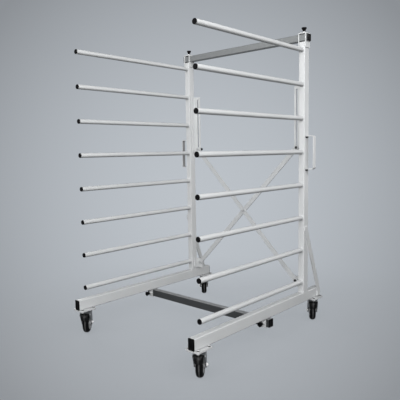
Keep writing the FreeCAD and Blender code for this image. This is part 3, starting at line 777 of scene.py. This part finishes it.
def wheel(corner, place):
    """Tyre with a crowned tread and a moulded hub with ribs."""
    centre = joint_in(place, f"{corner}_roll")
    axle = place @ axis_place(centre, across_axis)
    crown = centre.z - rim_radius
    tread = [math.radians(angle) for angle in range(-90, 91, 6)]
    profile = [(rim_radius + crown * math.cos(t) ** tread_power, tyre_half * math.sin(t)) for t in tread]
    tyre = bmesh.new()
    lathe(tyre, profile, axle, wheel_points, ring=True)
    # Painted highlight: a streak round the middle of the tread.
    mark_highlight_streak(tyre, place, tyre_highlight_streak_half)
    body = f"{corner}_wheel"
    add_piece(f"{corner}_tyre", tyre, finishes["wheels"], body, [f"{corner}_wheel"])
    front = in_metres([(43.9, 0), (43.9, 16.6), (43.1, 17.0), (41.4, 17.0), (40.6, 16.4), (38.6, 8.0),
                       (37.0, 6.0), (18.5, 6.0), (16.4, 7.6), (15.0, 24.2), (14.2, 25.6), (13.0, 26.6),
                       (6.0, 26.6), (5.1, 26.0), (5.1, 0)])
    back = [(r, -h) for r, h in front[-2:0:-1]]
    rib = in_metres([(15.5, 5.5), (15.5, 17.0), (38.0, 9.5), (40.0, 5.5)])
    hub = bmesh.new()
    lathe(hub, front + back, axle, wheel_points, ring=True)
    for k in range(rib_count):
        turn = axle @ Matrix.Rotation(2 * math.pi / rib_count * k, 4, "Z")
        for sign in (1, -1):
            prism(hub, [(x, sign * z) for x, z in rib], -rib_half, rib_half, turn)
    add_piece(f"{corner}_hub", hub, hub_finish, body)


def hex_loop(across, height):
    """Hexagon points about Z."""
    return circle(across / math.sqrt(3), height, 6)


def hex_nut(mesh, across, height, place):
    """Hexagon on a washer, with its outer corners taken off."""
    washer = 1.2 * mm
    washer_radius = 0.64 * across
    chamfer = 0.6 * mm
    lathe(mesh, [(washer_radius, 0), (washer_radius, washer)], place, count=32)
    loops = [hex_loop(across, washer), hex_loop(across, height - chamfer), hex_loop(0.88 * across, height)]
    loft(mesh, [[place @ point for point in loop] for loop in loops])


def fork_stations(axle, bridge_top):
    """Places up one leg of the fork to the middle of its bridge: y, z, lean of the plate and span in x."""
    stations = []
    for angle in range(14, 90, 11):
        turn = math.radians(angle)
        reach = fork_ear * math.sin(turn)
        z = axle.z - fork_ear * math.cos(turn)
        stations.append((fork_half, z, 0.0, axle.x - reach, axle.x + reach))
    shoulder = bridge_top - fork_shoulder
    leg_steps = 8
    for k in range(leg_steps + 1):
        rise = k / leg_steps
        stations.append((fork_half, axle.z + (shoulder - axle.z) * rise, 0.0,
                         axle.x - fork_ear - (axle.x - fork_ear + fork_front) * rise,
                         axle.x + fork_ear - (axle.x + fork_ear - fork_rear) * rise))
    for angle in range(0, 91, 15):
        lean = math.radians(angle)
        y = fork_half - fork_bend * (1 - math.cos(lean))
        z = bridge_top - fork_bend * (1 - math.sin(lean))
        stations.append((y, z, lean, -fork_front, fork_rear))
    stations.append((0.0, bridge_top, math.pi / 2, -fork_front, fork_rear))
    return stations


def yoke(corner, place):
    """Pressed fork with embossed legs, and its swivel head."""
    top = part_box(f"{corner}_fork")[1].z
    axle = joint_in(place, f"{corner}_roll")
    bridge_top = top - head_height
    ear_top = axle.z + fork_ear
    leg_height = bridge_top - fork_shoulder - ear_top
    field_bottom = ear_top + 0.1 * leg_height
    field_top = ear_top + 0.95 * leg_height
    field_start = 0.25
    field_end = 0.75
    columns = [0.0, 0.04, 0.2, 0.27, 0.34, 0.5, 0.66, 0.73, 0.8, 0.96, 1.0]
    leg = fork_stations(axle, bridge_top)
    other = [(-y, z, math.pi - lean, first, last) for y, z, lean, first, last in leg[-2::-1]]
    rows = []
    for y, z, lean, first, last in leg + other:
        outward = Vector((0, math.cos(lean), math.sin(lean)))
        swell = fork_emboss if field_bottom < z < field_top else 0.0
        row = []
        for share in columns:
            raised = swell if field_start < share < field_end else 0.0
            point = Vector((first + (last - first) * share, y, z)) + raised * outward
            row.append((place @ point, place @ (point - fork_plate * outward)))
        rows.append(row)
    mesh = bmesh.new()
    shell(mesh, rows)
    head = in_metres([(6.3, -14.6), (27.5, -14.6), (29.6, -14.0), (30.7, -12.6), (31.0, -10.5),
                      (31.0, -9.0), (30.4, -8.2), (28.4, -7.6), (28.0, -7.0), (28.0, -5.6), (28.4, -5.0),
                      (30.2, -4.6), (31.0, -3.8), (31.0, -1.6), (30.2, -0.6), (28.6, -0.2), (6.3, -0.2)])
    lathe(mesh, [(r, top + h) for r, h in head], place, count=48, ring=True)
    add_piece(f"{corner}_yoke", mesh, fork_finish, f"{corner}_caster", [f"{corner}_fork"],
              fork_edge)


def fork_bolts(corner, place):
    """The axle bolt with its nut, and the pedal's pin with a rivet head at each end."""
    axle = joint_in(place, f"{corner}_roll")
    pin = joint_in(place, f"{corner}_brake")
    mesh = bmesh.new()
    rivet = in_metres([(4.2, 0), (4.0, 0.7), (2.6, 1.4)])
    for sign in (1, -1):
        end = axis_place(Vector((pin.x, sign * fork_half, pin.z)), Vector((0, sign, 0)))
        lathe(mesh, rivet, place @ end)
    nut_axis = Vector((0, 1 if corner.startswith("rear") else -1, 0))
    bolt_place = place @ axis_place(Vector((axle.x, 0, axle.z)), nut_axis)
    hex_nut(mesh, axle_flat, axle_nut, bolt_place @ Matrix.Translation((0, 0, fork_half)))
    thread_end = fork_half + axle_nut + axle_thread
    head_end = -fork_half - axle_head
    bolt = [(6.5 * mm, head_end), (8.6 * mm, head_end + 0.6 * mm), (9.2 * mm, head_end + 1.6 * mm),
            (9.2 * mm, -fork_half), (axle_radius, -fork_half), (axle_radius, thread_end - mm),
            (axle_radius - mm, thread_end)]
    lathe(mesh, bolt, bolt_place)
    pin_place = place @ axis_place(Vector((pin.x, 0, pin.z)), across_axis)
    lathe(mesh, [(pedal_pin_radius, -fork_half), (pedal_pin_radius, fork_half)], pin_place)
    add_piece(f"{corner}_axle_bolt", mesh, axle_finish, f"{corner}_caster")


def hood_rows(pin, place):
    """Outer and inner points over the pedal's hood, nearly flat at its upper edge and then domed."""
    centre = (-14.6 * mm, pin.z - 18.7 * mm)
    lead = in_metres([(-15.5, 6.2), (-19.0, 6.7), (-22.5, 7.6)])
    path = [(x, pin.z + z) for x, z in lead] + arc(centre, hood_radius, 112, 210, 14)
    widest = math.radians(80)
    half_steps = 8
    edge_share = 0.15
    share_per_row = 0.12
    turns = [widest * k / half_steps for k in range(-half_steps, half_steps + 1)]
    rows = []
    for k, (x, z) in enumerate(path):
        away = Vector((x - centre[0], 0, z - centre[1])).normalized()
        share = min(1.0, edge_share + share_per_row * k)
        row = []
        for turn in turns:
            across = math.sin(turn) / math.sin(widest)
            sunk = share * pedal_drawn_in * (1 - math.cos(turn))
            point = Vector((x, pedal_half * across, z)) - sunk * away
            normal = away * math.cos(share * turn) + Vector((0, math.sin(share * turn), 0))
            row.append((place @ point, place @ (point - pedal_plate * normal)))
        rows.append(row)
    return rows


def pedal(corner, place):
    """Black brake pedal: a domed hood, two ribs under it and a hub on its pin."""
    pin = joint_in(place, f"{corner}_brake")
    mesh = bmesh.new()
    shell(mesh, hood_rows(pin, place))
    # Painted highlight: a streak down the middle of the hood.
    mark_highlight_streak(mesh, place, pedal_highlight_streak_half)
    rib = in_metres([(-17.0, -5.5), (-12.5, -3.0), (-12.5, 3.0), (-17.0, 5.5), (-24.0, 5.0), (-31.0, 1.0),
                     (-36.0, -5.0), (-37.5, -10.0), (-30.0, -6.5)])
    rib_width = 3 * mm
    for start in (-16.5 * mm, 13.5 * mm):
        prism(mesh, [(x, pin.z + z) for x, z in rib], start, start + rib_width, place)
    chamfer = 0.8 * mm
    hub = [(pedal_hub_radius - chamfer, -pedal_hub_half), (pedal_hub_radius, chamfer - pedal_hub_half),
           (pedal_hub_radius, pedal_hub_half - chamfer), (pedal_hub_radius - chamfer, pedal_hub_half)]
    lathe(mesh, hub, place @ axis_place(Vector((pin.x, 0, pin.z)), across_axis))
    add_piece(f"{corner}_pedal_hood", mesh, finishes["pedals"], f"{corner}_brake_pedal",
              [f"{corner}_brake_pedal"], pedal_edge)


# The stage, the light and the camera

floor_radius = 6.0
floor_clear = 0.75           # see-through share under the object
fade_start = 0.4             # from the middle, where the floor begins to fade out
fade_end = 2.2
light_size = 1.8
image_width = 400            # the photograph's, in pixels
focal_length = 493.5         # in the same pixels
sensor_width = 36.0
viewpoint = (2.029, -2.235, 1.1064)


def stage_floor():
    """Pale floor, mostly see-through so that shadows stay faint, fading out into the backdrop."""
    mesh = bmesh.new()
    bmesh.ops.create_circle(mesh, cap_ends=True, radius=floor_radius, segments=96)
    data = bpy.data.meshes.new("floor")
    mesh.to_mesh(data)
    mesh.free()
    material, tree, shader, place = material_base("pale_floor")
    shader.inputs["Base Color"].default_value = (0.40, 0.42, 0.44, 1)
    shader.inputs["Roughness"].default_value = 0.9
    distance = tree.nodes.new("ShaderNodeVectorMath")
    distance.operation = "LENGTH"
    tree.links.new(place, distance.inputs[0])
    fade = tree.nodes.new("ShaderNodeMapRange")
    fade.interpolation_type = "SMOOTHSTEP"
    fade.inputs["From Min"].default_value = fade_start
    fade.inputs["From Max"].default_value = fade_end
    fade.inputs["To Min"].default_value = floor_clear
    fade.inputs["To Max"].default_value = 1.0
    tree.links.new(distance.outputs["Value"], fade.inputs["Value"])
    clear = tree.nodes.new("ShaderNodeBsdfTransparent")
    blend = tree.nodes.new("ShaderNodeMixShader")
    tree.links.new(fade.outputs["Result"], blend.inputs["Fac"])
    tree.links.new(shader.outputs["BSDF"], blend.inputs[1])
    tree.links.new(clear.outputs["BSDF"], blend.inputs[2])
    tree.links.new(blend.outputs["Shader"], tree.nodes["Material Output"].inputs["Surface"])
    data.materials.append(material)
    floor = bpy.data.objects.new("floor", data)
    bpy.context.scene.collection.objects.link(floor)


def backdrop(ahead):
    """Cool grey backdrop, lightest straight ahead, with a dimmer light of its own."""
    edge_angle = math.radians(29)
    world = bpy.data.worlds.new("backdrop")
    world.use_nodes = True
    tree = world.node_tree
    seen = tree.nodes["Background"]
    place = tree.nodes.new("ShaderNodeTexCoord")
    along = tree.nodes.new("ShaderNodeVectorMath")
    along.operation = "DOT_PRODUCT"
    along.inputs[1].default_value = ahead
    tree.links.new(place.outputs["Generated"], along.inputs[0])
    shade = tree.nodes.new("ShaderNodeMapRange")
    shade.inputs["From Min"].default_value = math.cos(edge_angle)
    shade.inputs["From Max"].default_value = 1.0
    tree.links.new(along.outputs["Value"], shade.inputs["Value"])
    colours = ramp(tree, shade.outputs["Result"], (0.265, 0.282, 0.303), (0.50, 0.535, 0.575), 0.0, 1.0)
    tree.links.new(colours, seen.inputs["Color"])
    glow = tree.nodes.new("ShaderNodeBackground")
    glow.inputs["Color"].default_value = (0.03, 0.031, 0.032, 1)
    path = tree.nodes.new("ShaderNodeLightPath")
    shown = worked_out(tree, "MAXIMUM", path.outputs["Is Camera Ray"], path.outputs["Is Glossy Ray"])
    blend = tree.nodes.new("ShaderNodeMixShader")
    tree.links.new(shown, blend.inputs["Fac"])
    tree.links.new(glow.outputs["Background"], blend.inputs[1])
    tree.links.new(seen.outputs["Background"], blend.inputs[2])
    tree.links.new(blend.outputs["Shader"], tree.nodes["World Output"].inputs["Surface"])
    bpy.context.scene.world = world


def area_light(name, place, target, power):
    """Soft square light that looks at a target."""
    light = bpy.data.lights.new(name, "AREA")
    light.size = light_size
    light.energy = power
    lamp = bpy.data.objects.new(name, light)
    lamp.location = place
    lamp.rotation_euler = (Vector(target) - Vector(place)).to_track_quat("-Z", "Y").to_euler()
    bpy.context.scene.collection.objects.link(lamp)


def camera():
    """Camera at the photograph's place: level of the middle arms, ahead and to the right."""
    yaw = math.radians(42.43)
    pitch = math.radians(-5.73)
    roll = math.radians(-0.93)
    ahead = Vector((-math.sin(yaw) * math.cos(pitch), math.cos(yaw) * math.cos(pitch), math.sin(pitch)))
    level = Vector((math.cos(yaw), math.sin(yaw), 0))
    upright = level.cross(ahead)
    right = math.cos(roll) * level + math.sin(roll) * upright
    up = math.cos(roll) * upright - math.sin(roll) * level
    data = bpy.data.cameras.new("camera")
    data.sensor_width = sensor_width
    data.lens = focal_length / image_width * sensor_width
    viewer = bpy.data.objects.new("camera", data)
    turn = Matrix((right, up, -ahead)).transposed().to_4x4()
    viewer.matrix_world = Matrix.Translation(viewpoint) @ turn
    bpy.context.scene.collection.objects.link(viewer)
    bpy.context.scene.camera = viewer
    return ahead


for side_name in sides:
    frame_welds(side_name)
    side_plugs(side_name)
    knob(f"{side_name}_top_knob", Vector((0, 0, 1)))
    knob(f"{side_name}_base_knob", Vector((0, -1, 0)))
bar_plugs()
pin_caps()
for corner_name in corners:
    caster = caster_place(corner_name)
    wheel(corner_name, caster)
    yoke(corner_name, caster)
    fork_bolts(corner_name, caster)
    pedal(corner_name, caster)

stage_floor()
backdrop(camera())
area_light("low key", (1.3, -3.2, 1.3), (0.2, 0.3, 1.3), 34)
area_light("high key", (0.9, -2.6, 3.2), (0.2, 0.3, 1.8), 42)
area_light("corner", (3.0, -2.6, 2.2), (0.2, 0.2, 1.8), 73)
area_light("side", (3.2, -0.5, 3.2), (0, 0.2, 1.8), 63)
area_light("front", (-1.6, -3.0, 2.3), (-0.2, 0.3, 1.6), 34)
area_light("back right", (1.15, 4.0, 1.3), (0, 0.2, 1.0), 36)
area_light("left", (-3.7, 0.5, 1.3), (0, 0.2, 1.0), 45)
bpy.context.scene.view_settings.view_transform = "Standard"
